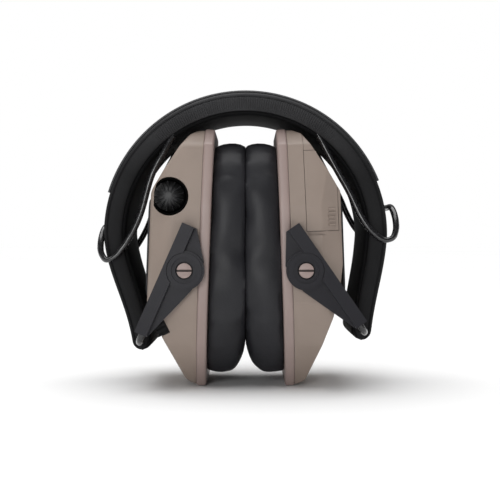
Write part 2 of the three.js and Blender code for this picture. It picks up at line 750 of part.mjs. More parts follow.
// A rivet through the folded end of the strap, just above the barrel.
function strapRivet(side, end, grow) {
  const radius = rivet.shaftRadius + grow;
  const head = rivet.headRadius + grow;
  const outer = rivet.reach;
  const inner = -rivet.reach;
  const outline = [
    [0, inner - rivet.headHeight - grow], [head, inner - rivet.headHeight - grow], [head, inner + grow],
    [radius, inner + grow], [radius, outer - grow], [head, outer - grow],
    [head, outer + rivet.headHeight + grow], [0, outer + rivet.headHeight + grow],
  ];
  return turnedAboutX(outline, side.hingeZ + rivet.above, 12)
    .translate(side.hingeX + rivet.offset, end * rivet.y, 0);
}

const model = new THREE.Group();

function add(parent, name, geometry, look) {
  const mesh = new THREE.Mesh(geometry, new THREE.MeshStandardMaterial(looks[look]));
  mesh.name = name;
  parent.add(mesh);
}

add(model, 'headband_crown_pad', crownPad(), 'leather');
const crownAngle = Math.asin((band.crownHalf - gap / 2) / band.outerRadius);
add(model, 'headband_crown_panel', outerPanel(-crownAngle, crownAngle), 'rubber');
add(model, 'crown_front_spring_wire', crownWire(-1, wireRadius, 0), 'wire');
add(model, 'crown_rear_spring_wire', crownWire(1, wireRadius, 0), 'wire');

for (const side of sides) {
  const handed = (geometry) => (side.sign < 0 ? mirrored(geometry) : geometry);
  const place = (parent, part, geometry, look) => add(parent, `${side.name}_${part}`, handed(geometry), look);
  const panelStart = Math.asin((band.crownHalf + 0.6) / band.outerRadius);
  place(model, 'headband_pad', headbandPad(side), 'leather');
  place(model, 'headband_panel', outerPanel(panelStart, side.panelEnd), 'rubber');
  place(model, 'spring_wire', springWire(side), 'wire');
  place(model, 'hinge_barrel', hingeBarrel(side), 'blackPlastic');
  place(model, 'front_strap_rivet', strapRivet(side, -1, 0), 'wire');
  place(model, 'rear_strap_rivet', strapRivet(side, 1, 0), 'wire');
  place(model, 'fork_wire', forkWire(side), 'wire');
  place(model, 'front_arm', slidingArm(side, -1), 'blackPlastic');
  place(model, 'rear_arm', slidingArm(side, 1), 'blackPlastic');

  const cupGroup = new THREE.Group();
  cupGroup.position.set(side.sign * cup.pinX, 0, cup.pinZ);
  cupGroup.rotation.y = -side.sign * cup.lean;
  model.add(cupGroup);
  place(cupGroup, 'cup_shell', side.sign < 0 ? leftShell() : rightShell(), 'tan');
  place(cupGroup, 'seal_plate', sealPlate(), 'tanLip');
  place(cupGroup, 'ear_cushion', earCushion(), 'leather');
  place(cupGroup, 'foam_liner', liner(), 'foam');
  place(cupGroup, 'speaker', speakerDriver(), 'steel');
  place(cupGroup, 'speaker_grille', speakerGrille(), 'blackPlastic');
  place(cupGroup, 'circuit_board', circuitBoard(), 'circuit');
  place(cupGroup, 'outer_overlay', outerOverlay(), 'rubber');
  place(cupGroup, 'microphone_grille', microphoneGrille(), 'foam');
  place(cupGroup, 'front_pivot_post', pivotPost(-1), 'tan');
  place(cupGroup, 'rear_pivot_post', pivotPost(1), 'tan');
  if (side.sign < 0) {
    place(cupGroup, 'volume_knob', volumeKnob(), 'rubber');
    place(cupGroup, 'volume_potentiometer', volumePotentiometer(), 'steel');
    place(cupGroup, 'audio_jack_socket', jackSocket(), 'blackPlastic');
    place(cupGroup, 'audio_jack_cover', jackPlug(), 'rubber');
  } else {
    place(cupGroup, 'battery_door', batteryDoor(), 'tan');
    const doorHingePin = doorPin(door.pinRadius, door.fromX - 1.9, door.knuckleEnd + 2);
    place(cupGroup, 'battery_door_pin', doorHingePin, 'steel');
    place(cupGroup, 'battery_cell_front', batteryCell(0), 'cellJacket');
    place(cupGroup, 'battery_cell_rear', batteryCell(1), 'cellJacket');
    place(cupGroup, 'battery_holder', batteryHolder(), 'blackPlastic');
    place(cupGroup, 'battery_contact', contactSpring(), 'steel');
  }
}

// The part stands on its cups: the origin is at the middle of the underside of its box.
const box = new THREE.Box3().setFromObject(model, true);
model.position.set(-(box.min.x + box.max.x) / 2, -(box.min.y + box.max.y) / 2, -box.min.z);
const group = new THREE.Group();
group.add(model);

export default group;
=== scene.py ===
import json
import math

import bpy
from mathutils import Matrix, Vector


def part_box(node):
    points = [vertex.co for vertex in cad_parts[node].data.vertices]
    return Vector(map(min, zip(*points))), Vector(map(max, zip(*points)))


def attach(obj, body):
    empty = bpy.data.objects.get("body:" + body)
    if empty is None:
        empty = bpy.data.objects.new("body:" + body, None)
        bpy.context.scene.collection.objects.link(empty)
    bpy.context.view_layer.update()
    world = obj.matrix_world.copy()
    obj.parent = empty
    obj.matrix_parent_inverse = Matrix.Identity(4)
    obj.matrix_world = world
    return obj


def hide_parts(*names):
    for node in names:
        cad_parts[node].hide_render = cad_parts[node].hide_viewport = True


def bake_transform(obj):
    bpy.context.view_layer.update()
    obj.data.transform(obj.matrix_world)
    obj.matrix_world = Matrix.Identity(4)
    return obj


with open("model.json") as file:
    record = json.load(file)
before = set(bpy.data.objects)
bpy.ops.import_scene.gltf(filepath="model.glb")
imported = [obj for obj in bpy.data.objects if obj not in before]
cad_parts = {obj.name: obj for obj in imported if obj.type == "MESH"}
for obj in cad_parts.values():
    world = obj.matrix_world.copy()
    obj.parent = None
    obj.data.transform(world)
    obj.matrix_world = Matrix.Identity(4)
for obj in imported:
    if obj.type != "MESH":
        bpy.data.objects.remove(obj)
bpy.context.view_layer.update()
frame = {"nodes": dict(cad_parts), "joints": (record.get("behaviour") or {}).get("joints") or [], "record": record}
joints = {joint["name"]: joint for joint in frame["joints"]}
mm = 0.001


# small helpers

def onlySelect(*pieces):
    bpy.ops.object.select_all(action="DESELECT")
    for piece in pieces:
        piece.select_set(True)
    bpy.context.view_layer.objects.active = pieces[0]


def selectWhere(piece, kind, test):
    # faces are tested by centre and normal, edges by their two ends
    mesh = piece.data
    for part in (mesh.vertices, mesh.edges, mesh.polygons):
        part.foreach_set("select", [False] * len(part))
    if kind == "FACE":
        for face in mesh.polygons:
            face.select = bool(test(face.center, face.normal))
    if kind == "EDGE":
        for edge in mesh.edges:
            edge.select = bool(test(*[mesh.vertices[i].co for i in edge.vertices]))
    if kind == "VERT":
        for vertex in mesh.vertices:
            vertex.select = bool(test(vertex.co))
    bpy.context.tool_settings.mesh_select_mode = (kind == "VERT", kind == "EDGE", kind == "FACE")


def finishWith(piece, kind, **settings):
    onlySelect(piece)
    modifier = piece.modifiers.new(kind.title(), kind)
    for key, value in settings.items():
        setattr(modifier, key, value)
    bpy.ops.object.modifier_apply(modifier=modifier.name)
    return piece


def rounded(piece, width, segments=3, angle=30, clamp=True):
    return finishWith(piece, "BEVEL", width=width, segments=segments, limit_method="ANGLE",
                      angle_limit=math.radians(angle), use_clamp_overlap=clamp)


def smoothed(piece, angle=35):
    onlySelect(piece)
    bpy.ops.object.shade_smooth_by_angle(angle=math.radians(angle))
    return piece


def evenlyLit(piece, angle=35):
    # keeps wide flat faces flat between their rounded edges
    smoothed(piece, angle)
    return finishWith(piece, "WEIGHTED_NORMAL", keep_sharp=True)


def joined(piece, other, operation):
    # a boolean with another piece, which is used up
    finishWith(piece, "BOOLEAN", operation=operation, object=other, solver="EXACT")
    bpy.data.objects.remove(other)
    return piece


def named(piece, name):
    piece.name = name
    piece.data.name = name
    return piece


def block(lo, hi):
    bpy.ops.object.select_all(action="DESELECT")
    centre = [(a + b) / 2 for a, b in zip(lo, hi)]
    bpy.ops.mesh.primitive_cube_add(size=1, location=centre, scale=[b - a for a, b in zip(lo, hi)])
    return settled(bpy.context.object)


def cylinder(radius, lo, hi, centre, axis="Y", vertices=64, endRadius=None):
    # a round piece, or a cone, that runs from lo to hi along an axis through centre
    bpy.ops.object.select_all(action="DESELECT")
    turn = {"X": (0, math.pi / 2, 0), "Y": (-math.pi / 2, 0, 0), "Z": (0, 0, 0)}[axis]
    place = list(centre)
    place["XYZ".index(axis)] = (lo + hi) / 2
    bpy.ops.mesh.primitive_cone_add(vertices=vertices, radius1=radius, depth=hi - lo, location=place,
                                    radius2=radius if endRadius is None else endRadius, rotation=turn)
    return settled(bpy.context.object)


def settled(piece):
    onlySelect(piece)
    bpy.ops.object.transform_apply(location=True, rotation=True, scale=True)
    return piece


def trimmed(piece, point, normal, fill=True):
    # takes away what lies on the normal's side of a plane
    onlySelect(piece)
    bpy.ops.object.mode_set(mode="EDIT")
    bpy.ops.mesh.select_all(action="SELECT")
    bpy.ops.mesh.bisect(plane_co=point, plane_no=normal, use_fill=fill, clear_outer=True, threshold=1e-7)
    bpy.ops.object.mode_set(mode="OBJECT")
    return piece


def copied(piece, name=None):
    twin = bpy.data.objects.new(name or piece.name, piece.data.copy())
    bpy.context.scene.collection.objects.link(twin)
    return twin


def nodeCopy(node, name, dissolve=1.0):
    # a merged copy of a CAD node, ready to be refined
    piece = copied(frame["nodes"][node], name)
    piece.data.name = name
    piece.data.materials.clear()
    onlySelect(piece)
    bpy.ops.object.mode_set(mode="EDIT")
    bpy.ops.mesh.select_all(action="SELECT")
    bpy.ops.mesh.remove_doubles(threshold=2e-5)
    if dissolve:
        bpy.ops.mesh.dissolve_limited(angle_limit=math.radians(dissolve))
    bpy.ops.object.mode_set(mode="OBJECT")
    return piece


def moved(piece, matrix):
    piece.data.transform(matrix)
    if matrix.determinant() < 0:
        piece.data.flip_normals()
    return piece


def fitted(piece, body, slot, material, *nodes):
    piece.data.materials.clear()
    piece.data.materials.append(material)
    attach(piece, body)
    if nodes:
        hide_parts(*nodes)
    return piece


# camera, light, floor

studio = {
    "cameraAt": (0.00072, -0.474, 0.0657), "lens": 72.7, "sensor": 36,
    "floorSize": 16.0, "skyLight": 0.12, "skySeen": 1.0,
    "overhead": {"from": (-0.1, 0.12, 1.0), "strength": 3.2, "spread": 75},
    "lights": [
        {"name": "keyLight", "at": (-0.3, -1.25, 0.3), "size": 0.5, "power": 5.0},
        {"name": "leftRim", "at": (-0.8, 0.35, 0.12), "size": 0.4, "power": 0.9},
        {"name": "rightRim", "at": (0.8, 0.35, 0.12), "size": 0.4, "power": 0.9},
    ],
}


def makeStudio():
    scene = bpy.context.scene
    scene.view_settings.view_transform = "Standard"
    camera = bpy.data.objects.new("camera", bpy.data.cameras.new("camera"))
    scene.collection.objects.link(camera)
    camera.location = studio["cameraAt"]
    camera.rotation_euler = (math.pi / 2, 0, 0)
    camera.data.lens = studio["lens"]
    camera.data.sensor_width = studio["sensor"]
    camera.data.clip_start = 0.01
    scene.camera = camera
    for light in studio["lights"]:
        lamp = bpy.data.objects.new(light["name"], bpy.data.lights.new(light["name"], "AREA"))
        scene.collection.objects.link(lamp)
        lamp.location = light["at"]
        lamp.rotation_euler = (Vector((0, 0, 0.06)) - lamp.location).to_track_quat("-Z", "Y").to_euler()
        lamp.data.size = light["size"]
        lamp.data.energy = light["power"]
    overhead = studio["overhead"]
    sky = bpy.data.objects.new("overhead", bpy.data.lights.new("overhead", "SUN"))
    scene.collection.objects.link(sky)
    sky.rotation_euler = Vector(overhead["from"]).to_track_quat("Z", "Y").to_euler()
    sky.data.energy = overhead["strength"]
    sky.data.angle = math.radians(overhead["spread"])
    scene.world = bpy.data.worlds.new("studio")
    scene.world.use_nodes = True
    # a white surround that lights the piece less than it shows
    tree = scene.world.node_tree
    background = tree.nodes["Background"]
    background.inputs["Color"].default_value = (1, 1, 1, 1)
    seen = tree.nodes.new("ShaderNodeLightPath")
    strength = tree.nodes.new("ShaderNodeMapRange")
    strength.inputs["To Min"].default_value = studio["skyLight"]
    strength.inputs["To Max"].default_value = studio["skySeen"]
    tree.links.new(seen.outputs["Is Camera Ray"], strength.inputs["Value"])
    tree.links.new(strength.outputs["Result"], background.inputs["Strength"])
    bpy.ops.mesh.primitive_plane_add(size=studio["floorSize"], location=(0, 0, -0.0002))
    floor = named(bpy.context.object, "studioFloor")
    return floor


# shader maths

class Wire:
    # one shader socket; sums on it add Math nodes
    def __init__(self, tree, socket=None):
        self.tree = tree
        self.socket = socket

    def node(self, kind, settings=None, inputs=None, output=0):
        made = self.tree.nodes.new(kind)
        for key, value in (settings or {}).items():
            if key == "stops":
                stops = made.color_ramp.elements
                while len(stops) < len(value):
                    stops.new(0.5)
                for stop, (place, colour) in zip(stops, value):
                    stop.position = place
                    stop.color = colour
            else:
                setattr(made, key, value)
        for key, value in (inputs or {}).items():
            if isinstance(value, Wire):
                self.tree.links.new(value.socket, made.inputs[key])
            else:
                made.inputs[key].default_value = value
        return Wire(self.tree, made.outputs[output])

    def maths(self, operation, first, second=0.0):
        return self.node("ShaderNodeMath", {"operation": operation}, {0: first, 1: second})

    def __add__(self, other):
        return self.maths("ADD", self, other)

    def __radd__(self, other):
        return self.maths("ADD", other, self)

    def __sub__(self, other):
        return self.maths("SUBTRACT", self, other)

    def __rsub__(self, other):
        return self.maths("SUBTRACT", other, self)

    def __mul__(self, other):
        return self.maths("MULTIPLY", self, other)

    def __rmul__(self, other):
        return self.maths("MULTIPLY", other, self)

    def clamped(self, low, high):
        span = {"From Min": low, "From Max": high}
        return self.node("ShaderNodeMapRange", {"clamp": True}, {"Value": self, **span})

    def noise(self, place, scale, detail=2.0, roughness=0.5):
        return self.node("ShaderNodeTexNoise", None, {
            "Vector": place, "Scale": scale, "Detail": detail, "Roughness": roughness})

    def cells(self, place, scale, feature="F1"):
        return self.node("ShaderNodeTexVoronoi", {"feature": feature}, {"Vector": place, "Scale": scale})

    def blend(self, mask, first, second):
        return self.node("ShaderNodeMix", {"data_type": "RGBA"}, {0: mask, 6: first, 7: second}, 2)

    def bump(self, height, distance, strength=1.0, normal=None):
        inputs = {"Height": height, "Distance": distance, "Strength": strength}
        if normal is not None:
            inputs["Normal"] = normal
        return self.node("ShaderNodeBump", None, inputs)


def shade(colour, factor=1.0):
    return (colour[0] * factor, colour[1] * factor, colour[2] * factor, 1)


def startMaterial(name, **fixed):
    material = bpy.data.materials.new(name)
    material.use_nodes = True
    tree = material.node_tree
    surface = tree.nodes["Principled BSDF"]
    for key, value in fixed.items():
        surface.inputs[key].default_value = value
    wire = Wire(tree)
    place = wire.node("ShaderNodeTexCoord", output="Object")

    def feed(socket, value):
        tree.links.new(value.socket, surface.inputs[socket])

    return material, wire, place, feed


def mouldedPlastic(name, colour, rough=0.5, grain=1.0, specular=0.45):
    # injection-moulded plastic: spark-eroded grain, faint clouding, slightly worn sheen
    material, wire, place, feed = startMaterial(name, **{"Specular IOR Level": specular})
    cloud = wire.noise(place, 55, 3).clamped(0.3, 0.7)
    grainHeight = wire.noise(place, 2600, 2, 0.6) + 0.6 * wire.cells(place, 1900)
    feed("Base Color", wire.blend(cloud, shade(colour, 0.94), shade(colour, 1.05)))
    feed("Roughness", rough - 0.06 + 0.1 * cloud + 0.08 * wire.noise(place, 900, 1))
    feed("Normal", wire.bump(grainHeight, 0.00006 * grain, 0.35))
    return material


def slottedPlastic(name, colour, faceAt):
    # the same plastic, with painted shade darkening the slot below the post's face
    material, wire, place, feed = startMaterial(name, **{"Specular IOR Level": 0.4})
    across = wire.maths("ABSOLUTE", wire.node("ShaderNodeSeparateXYZ", None, {"Vector": place}, "Y"))
    # painted shade: the plastic turns near-black and dull below the post's face, inside the slot
    slotShade = across.clamped(faceAt, faceAt - 0.0004)
    cloud = wire.noise(place, 400, 3).clamped(0.3, 0.7)
    plain = wire.blend(cloud, shade(colour, 0.92), shade(colour, 1.06))
    feed("Base Color", wire.blend(slotShade, plain, shade(colour, 0.07)))
    feed("Roughness", 0.38 + 0.1 * cloud + 0.3 * slotShade)
    feed("Normal", wire.bump(wire.noise(place, 2600, 2, 0.6), 0.00005, 0.35))
    return material


def leather(name, colour, rough=0.42, pebble=1500, depth=0.00006, crease=0.0):
    # synthetic leather: pebbled skin, soft creases, duller in the hollows
    material, wire, place, feed = startMaterial(name, **{"Specular IOR Level": 0.25})
    skin = wire.cells(place, pebble, "SMOOTH_F1")
    wear = wire.noise(place, 45, 4).clamped(0.35, 0.7)
    folds = wire.noise(place, 160, 3, 0.55)
    feed("Base Color", wire.blend(wear, shade(colour, 0.85), shade(colour, 1.2)))
    feed("Roughness", rough + 0.1 * wear - 0.06 * skin)
    first = wire.bump(folds, 0.0004, crease + 0.05)
    feed("Normal", wire.bump(skin, depth, 0.5, first))
    return material


def bandLeather(name, lining, ribbon):
    # woven ribbon trim over a dull lining, told apart by the mark that the sleeve carries; the mark also paints
    # light on the trim, brighter towards the crown
    material, wire, place, feed = startMaterial(name, **{"Specular IOR Level": 0.14})
    trim = wire.node("ShaderNodeAttribute", {"attribute_name": "trim"}, output="Fac")
    skin = wire.cells(place, 1300, "SMOOTH_F1")
    wear = wire.noise(place, 50, 4).clamped(0.3, 0.75)
    weave = wire.noise(place, 2200, 2)
    worn = wire.blend(wear, shade(ribbon, 0.8), shade(ribbon, 1.25))
    # painted light: the ribbon colour fades towards the lining's down the sides, following the mark
    feed("Base Color", wire.blend(trim, shade(lining), worn))
    feed("Roughness", 0.78 - 0.22 * trim + 0.08 * wear)
    feed("Normal", wire.bump(skin + 0.5 * weave, 0.00007, 0.5))
    return material


def ribbedRubber(name, colour, ridgeAt):
    # glossy ridges with a random dust tone; painted shade makes the grooves between them dark and dull
    material, wire, place, feed = startMaterial(name, **{"Specular IOR Level": 0.35})
    across = wire.maths("ABSOLUTE", wire.node("ShaderNodeSeparateXYZ", None, {"Vector": place}, "Y"))
    # painted shade: darker and rougher below the ridge faces, down in the grooves
    grooveShade = across.clamped(ridgeAt, ridgeAt - 0.0012)
    dust = wire.noise(place, 300, 4).clamped(0.4, 0.75)
    ridge = wire.blend(dust, shade(colour), shade(colour, 1.35))
    feed("Base Color", wire.blend(grooveShade, ridge, shade(colour, 0.08)))
    feed("Roughness", 0.34 + 0.4 * grooveShade + 0.1 * dust)
    feed("Normal", wire.bump(wire.noise(place, 3200, 2), 0.00004, 0.4))
    return material


def rubber(name, colour, rough=0.62, specular=0.4):
    # soft-touch rubber with a fine matt skin
    material, wire, place, feed = startMaterial(name, **{"Specular IOR Level": specular})
    dust = wire.noise(place, 300, 4).clamped(0.4, 0.75)
    feed("Base Color", wire.blend(dust, shade(colour), shade(colour, 1.35)))
    feed("Roughness", rough + 0.12 * dust)
    feed("Normal", wire.bump(wire.noise(place, 3200, 2), 0.00004, 0.4))
    return material


def coatedSteel(name, colour, rough=0.28):
    # wire under smooth black coating
    material, wire, place, feed = startMaterial(name, **{"Specular IOR Level": 0.6, "Coat Roughness": 0.15})
    scuff = wire.noise(place, 700, 3).clamped(0.45, 0.8)
    feed("Base Color", wire.blend(scuff, shade(colour), shade(colour, 1.8)))
    feed("Roughness", rough + 0.15 * scuff)
    feed("Coat Weight", 0.35 - 0.2 * scuff)
    feed("Normal", wire.bump(wire.noise(place, 500, 2), 0.00005, 0.2))
    return material


def steel(name, colour=(0.6, 0.6, 0.61)):
    # drawn steel with fine scratches
    material, wire, place, feed = startMaterial(name)
    stretch = wire.node("ShaderNodeMapping", None, {"Vector": place, "Scale": (1, 12, 1)})
    scratch = wire.noise(stretch, 600, 3)
    feed("Base Color", wire.blend(scratch, shade(colour, 0.85), shade(colour, 1.05)))
    feed("Roughness", 0.25 + 0.25 * scratch)
    feed("Metallic", 1.0 - 0.1 * wire.noise(place, 200, 2))
    return material


def foam(name, colour):
    # open-cell foam
    material, wire, place, feed = startMaterial(name, **{"Specular IOR Level": 0.2})
    pore = wire.cells(place, 1100)
    feed("Base Color", wire.blend(pore.clamped(0.1, 0.6), shade(colour, 1.5), shade(colour, 0.5)))
    feed("Roughness", 0.85 + 0.1 * pore)
    feed("Normal", wire.bump(pore, 0.0004, 0.8))
    return material


def circuitGreen(name):
    # solder mask over traces, with tinned pads
    material, wire, place, feed = startMaterial(name)
    trace = wire.node("ShaderNodeTexBrick", None, {
        "Vector": place, "Scale": 240, "Mortar Size": 0.03, "Color1": (0, 0, 0, 1), "Color2": (0, 0, 0, 1),
        "Mortar": (1, 1, 1, 1)})
    pads = 1 - wire.cells(place, 260).clamped(0.1, 0.16)
    board = wire.blend(trace, (0.01, 0.09, 0.03, 1), (0.02, 0.18, 0.06, 1))
    feed("Base Color", wire.blend(pads, board, (0.6, 0.6, 0.58, 1)))
    feed("Roughness", 0.4 - 0.1 * pads)
    return material


def floorPaint(name):
    material, wire, place, feed = startMaterial(name, **{"Specular IOR Level": 0.1})
    cloud = wire.noise(place, 1.5, 2)
    feed("Base Color", wire.blend(cloud, (0.9, 0.9, 0.9, 1), (0.93, 0.93, 0.93, 1)))
    feed("Roughness", 0.85 + 0.1 * cloud)
    return material


floor = makeStudio()
floor.data.materials.append(floorPaint("paleFloor"))
finish = {
    "tan": mouldedPlastic("tanPlastic", (0.284, 0.226, 0.190), 0.5),
    "lip": mouldedPlastic("lipPlastic", (0.315, 0.240, 0.220), 0.38, 0.6, 0.5),
    "arm": mouldedPlastic("armPlastic", (0.012, 0.0115, 0.0155), 0.32, 1.2, 0.22),
    "cushion": leather("cushionLeather", (0.019, 0.019, 0.022), 0.42, 1500, 0.00005, 0.05),
    "band": bandLeather("bandLeather", (0.004, 0.004, 0.0045), (0.042, 0.042, 0.044)),
    "panel": rubber("panelRubber", (0.04, 0.04, 0.042), 0.45),
    "knob": ribbedRubber("knobRubber", (0.020, 0.020, 0.021), 37.9 * mm),
    "well": rubber("wellRubber", (0.0012, 0.0012, 0.0012), 0.9, 0.05),
    "post": slottedPlastic("postPlastic", (0.315, 0.240, 0.220), 44.45 * mm),
    "overlay": rubber("overlayRubber", (0.022, 0.022, 0.024), 0.6),
    "wire": coatedSteel("coatedWire", (0.006, 0.006, 0.007), 0.22),
    "steel": steel("bareSteel"),
    "foam": foam("blackFoam", (0.02, 0.02, 0.022)),
    "circuit": circuitGreen("circuitGreen"),
    "cell": mouldedPlastic("cellJacket", (0.08, 0.08, 0.09), 0.3, 0.3),
}
print("stage: studio and materials")


# places

lean = math.radians(2.1)


def cupPlace(side):
    # from a cup's own frame (x outboard from its pin, y, z) to the row frame
    pin = Vector(joints[f"{side}_cup_pivot"]["pos_m"])
    outward = 1 if side == "right" else -1
    turn = Matrix.Rotation(-lean, 4, "Y")
    return Matrix.Translation(pin) @ Matrix.Diagonal((outward, 1, 1, 1)) @ turn


def legPlace(side, end):
    # from an arm's own frame (x along the leg from the hinge, y out from the middle, z towards the cup)
    hinge = Vector(joints[f"{side}_fold"]["pos_m"])
    along = Vector(joints[f"{side}_arm_slide"]["axis"]).normalized()
    outward = 1 if side == "right" else -1
    across = Vector((-outward * along.z, 0, outward * along.x))
    turn = Matrix((along, Vector((0, end, 0)), across)).transposed().to_4x4()
    return Matrix.Translation(hinge) @ turn


sides = ("left", "right")


# cups

cup = {
    "lipX": -10.2, "faceX": 16.8, "footZ": -51.5, "topZ": 62.4, "halfWidth": 39.0, "wall": 2.6,
    "plateThickness": 4.5, "plateProud": 0.6, "seam": 0.02, "edge": 2.8,
    "sideOutline": [(20, -51.5), (33, -33), (39, -14), (39, 28), (34.5, 55), (22, 62.4)],
    "foot": [(-5, -51.5), (-1.2, -49.9)], "top": [(16.8, 34), (1, 60.4), (-3, 62.4)],
    # the jack widens the left cup's lower slope, the right cup's is a curve
    "slope": {"left": [(16.8, -16)], "right": [(6.3, -33.6), (11.6, -20.6), (14.9, -10), (16.8, 2)]},
    "chamfer": [(8, 39), (16.8, 32)],
}
knobPlace = {"x": 8.2, "z": 31.8, "recess": 8.1, "recessFloor": 33.0, "dish": 0.9}
jackPlace = {"x": 11.8, "z": -25.5, "across": 8.4, "depth": 4.2, "fromY": -37.0, "toY": -25.6}
doorPlace = {"fromX": 1.2, "fromZ": 16.8, "toZ": 51.9, "backY": 30.8, "hingeZ": 50.6, "hingeY": 34.2,
             "toX": 15.4, "gap": 0.2, "thickness": 2.0, "knuckle": 0.95, "knuckleEnd": 6.6,
             "pin": 0.6}
grip = {"ridges": 5, "pitch": 1.7, "fromZ": 19.4, "length": 4.2, "height": 0.55, "along": 0.5}


def cupBody(grow, fromX, edge, side="left"):
    # a block whose corners are cut off by sloping planes, then rounded; sizes in cup millimetres
    wide = cup["halfWidth"] + grow
    lo = (fromX * mm, -wide * mm, (cup["footZ"] - grow) * mm)
    hi = ((cup["faceX"] + grow) * mm, wide * mm, (cup["topZ"] + grow) * mm)
    body = block(lo, hi)

    def cut(first, second, plane):
        # the plane through two outline points, moved outwards by grow
        run = Vector((second[0] - first[0], second[1] - first[1])).normalized()
        out = Vector((run.y, -run.x))
        start = Vector(first) + out * grow
        if plane == "yz":
            for sign in (-1, 1):
                trimmed(body, (0, sign * start.x * mm, start.y * mm), (0, sign * out.x, out.y))
        elif plane == "xz":
            trimmed(body, (start.x * mm, 0, start.y * mm), (out.x, 0, out.y))
        else:
            for sign in (-1, 1):
                trimmed(body, (start.x * mm, sign * start.y * mm, 0), (-out.x, -sign * out.y, 0))

    outline = cup["sideOutline"]
    for first, second in zip(outline[:-1], outline[1:]):
        if first[0] != second[0]:
            cut(first, second, "yz")
    outline = cup["foot"] + cup["slope"][side] + cup["top"]
    for first, second in zip(outline[:-1], outline[1:]):
        if first[0] != second[0]:
            cut(first, second, "xz")
    first, second = cup["chamfer"]
    run = Vector((second[0] - first[0], second[1] - first[1])).normalized()
    out = Vector((-run.y, run.x))
    start = Vector(first) + out * grow
    for sign in (-1, 1):
        trimmed(body, (start.x * mm, sign * start.y * mm, 0), (out.x, sign * out.y, 0))
    if edge:
        rounded(body, edge * mm, 4, 8)
    return body


def hollowShell(side, crownLight=None):
    # the shell that both cups share: a body less its inside, open towards the seal plate;
    # kept is a piece of the inside that stays solid
    openAt = cup["lipX"] + cup["plateThickness"] + cup["seam"]
    body = cupBody(0, cup["lipX"] - 6, cup["edge"], side)
    trimmed(body, (openAt * mm, 0, 0), (-1, 0, 0))
    inside = cupBody(-cup["wall"], cup["lipX"] - 8, 0, side)
    if crownLight:
        joined(inside, crownLight, "DIFFERENCE")
    joined(body, inside, "DIFFERENCE")
    for end in (-1, 1):
        hole = cylinder(3.1 * mm, 30 * mm, 48 * mm, (0, 0, 0)) if end > 0 else (
            cylinder(3.1 * mm, -48 * mm, -30 * mm, (0, 0, 0)))
        joined(body, hole, "DIFFERENCE")
    return body


def slopeBlock(lo, hi):
    # a block drawn square to the lower slope, whose middle is the audio jack's axis
    first, second = cup["foot"][1], cup["slope"]["left"][0]
    turn = math.atan2(second[0] - first[0], second[1] - first[1])
    piece = block([v * mm for v in lo], [v * mm for v in hi])
    piece.data.transform(Matrix.Translation((jackPlace["x"] * mm, 0, jackPlace["z"] * mm))
                         @ Matrix.Rotation(turn, 4, "Y"))
    return piece


def doorBlock(margin):
    lo = (doorPlace["fromX"] - margin, -50, doorPlace["fromZ"] - margin)
    hi = (doorPlace["toX"] + margin, -doorPlace["backY"] + margin, doorPlace["toZ"] + margin)
    return block([v * mm for v in lo], [v * mm for v in hi])


def leftShell():
    x, z = knobPlace["x"] * mm, knobPlace["z"] * mm
    floorY = knobPlace["recessFloor"]
    boss = cylinder((knobPlace["recess"] + 2) * mm, -50 * mm, -(floorY - 2) * mm, (x, 0, z), vertices=96)
    body = hollowShell("left", boss)
    recess = cylinder((knobPlace["recess"] + knobPlace["dish"]) * mm, -46 * mm, -floorY * mm, (x, 0, z),
                      vertices=96, endRadius=knobPlace["recess"] * mm)
    joined(body, recess, "DIFFERENCE")
    joined(body, cylinder(2.6 * mm, -40 * mm, -(floorY - 4) * mm, (x, 0, z)), "DIFFERENCE")
    half = jackPlace["across"] / 2 + 0.3
    notch = slopeBlock((-jackPlace["depth"] - 0.3, jackPlace["fromY"] - 0.3, -half),
                       (9, jackPlace["toY"] + 0.3, half))
    joined(body, notch, "DIFFERENCE")
    return body


def rightShell():
    body = hollowShell("right")
    joined(body, doorBlock(doorPlace["gap"]), "DIFFERENCE")
    slot = block([v * mm for v in (doorPlace["fromX"] + 0.6, -45, doorPlace["fromZ"] - 1.9)],
                 [v * mm for v in (doorPlace["fromX"] + 9.8, -cup["halfWidth"] + 1.2,
                                   doorPlace["fromZ"] + 1)])
    joined(body, slot, "DIFFERENCE")
    # the door's seam runs on to the top as a groove
    groove = block([v * mm for v in (doorPlace["fromX"] - doorPlace["gap"], -45, doorPlace["toZ"])],
                   [v * mm for v in (doorPlace["fromX"], -15, cup["topZ"])])
    joined(groove, cupBody(-0.5, cup["lipX"] - 8, cup["edge"], "right"), "DIFFERENCE")
    joined(body, groove, "DIFFERENCE")
    return body


def knobWell():
    # a near-black, almost unreflecting sleeve in the knob's pocket, level with the outside of the cup, that
    # darkens the pocket
    x, z = knobPlace["x"] * mm, knobPlace["z"] * mm
    depth = knobPlace["recessFloor"] - 0.05
    lining = cylinder(knobPlace["recess"] * mm - 0.00003, -46 * mm, -depth * mm, (x, 0, z), vertices=96)
    joined(lining, cupBody(-0.25, cup["lipX"] - 6, cup["edge"]), "INTERSECT")
    joined(lining, cylinder((knobPlace["recess"] - 0.7) * mm, -50 * mm, -(depth + 0.6) * mm, (x, 0, z),
                            vertices=96), "DIFFERENCE")
    return joined(lining, cylinder(2.6 * mm, -50 * mm, -20 * mm, (x, 0, z)), "DIFFERENCE")


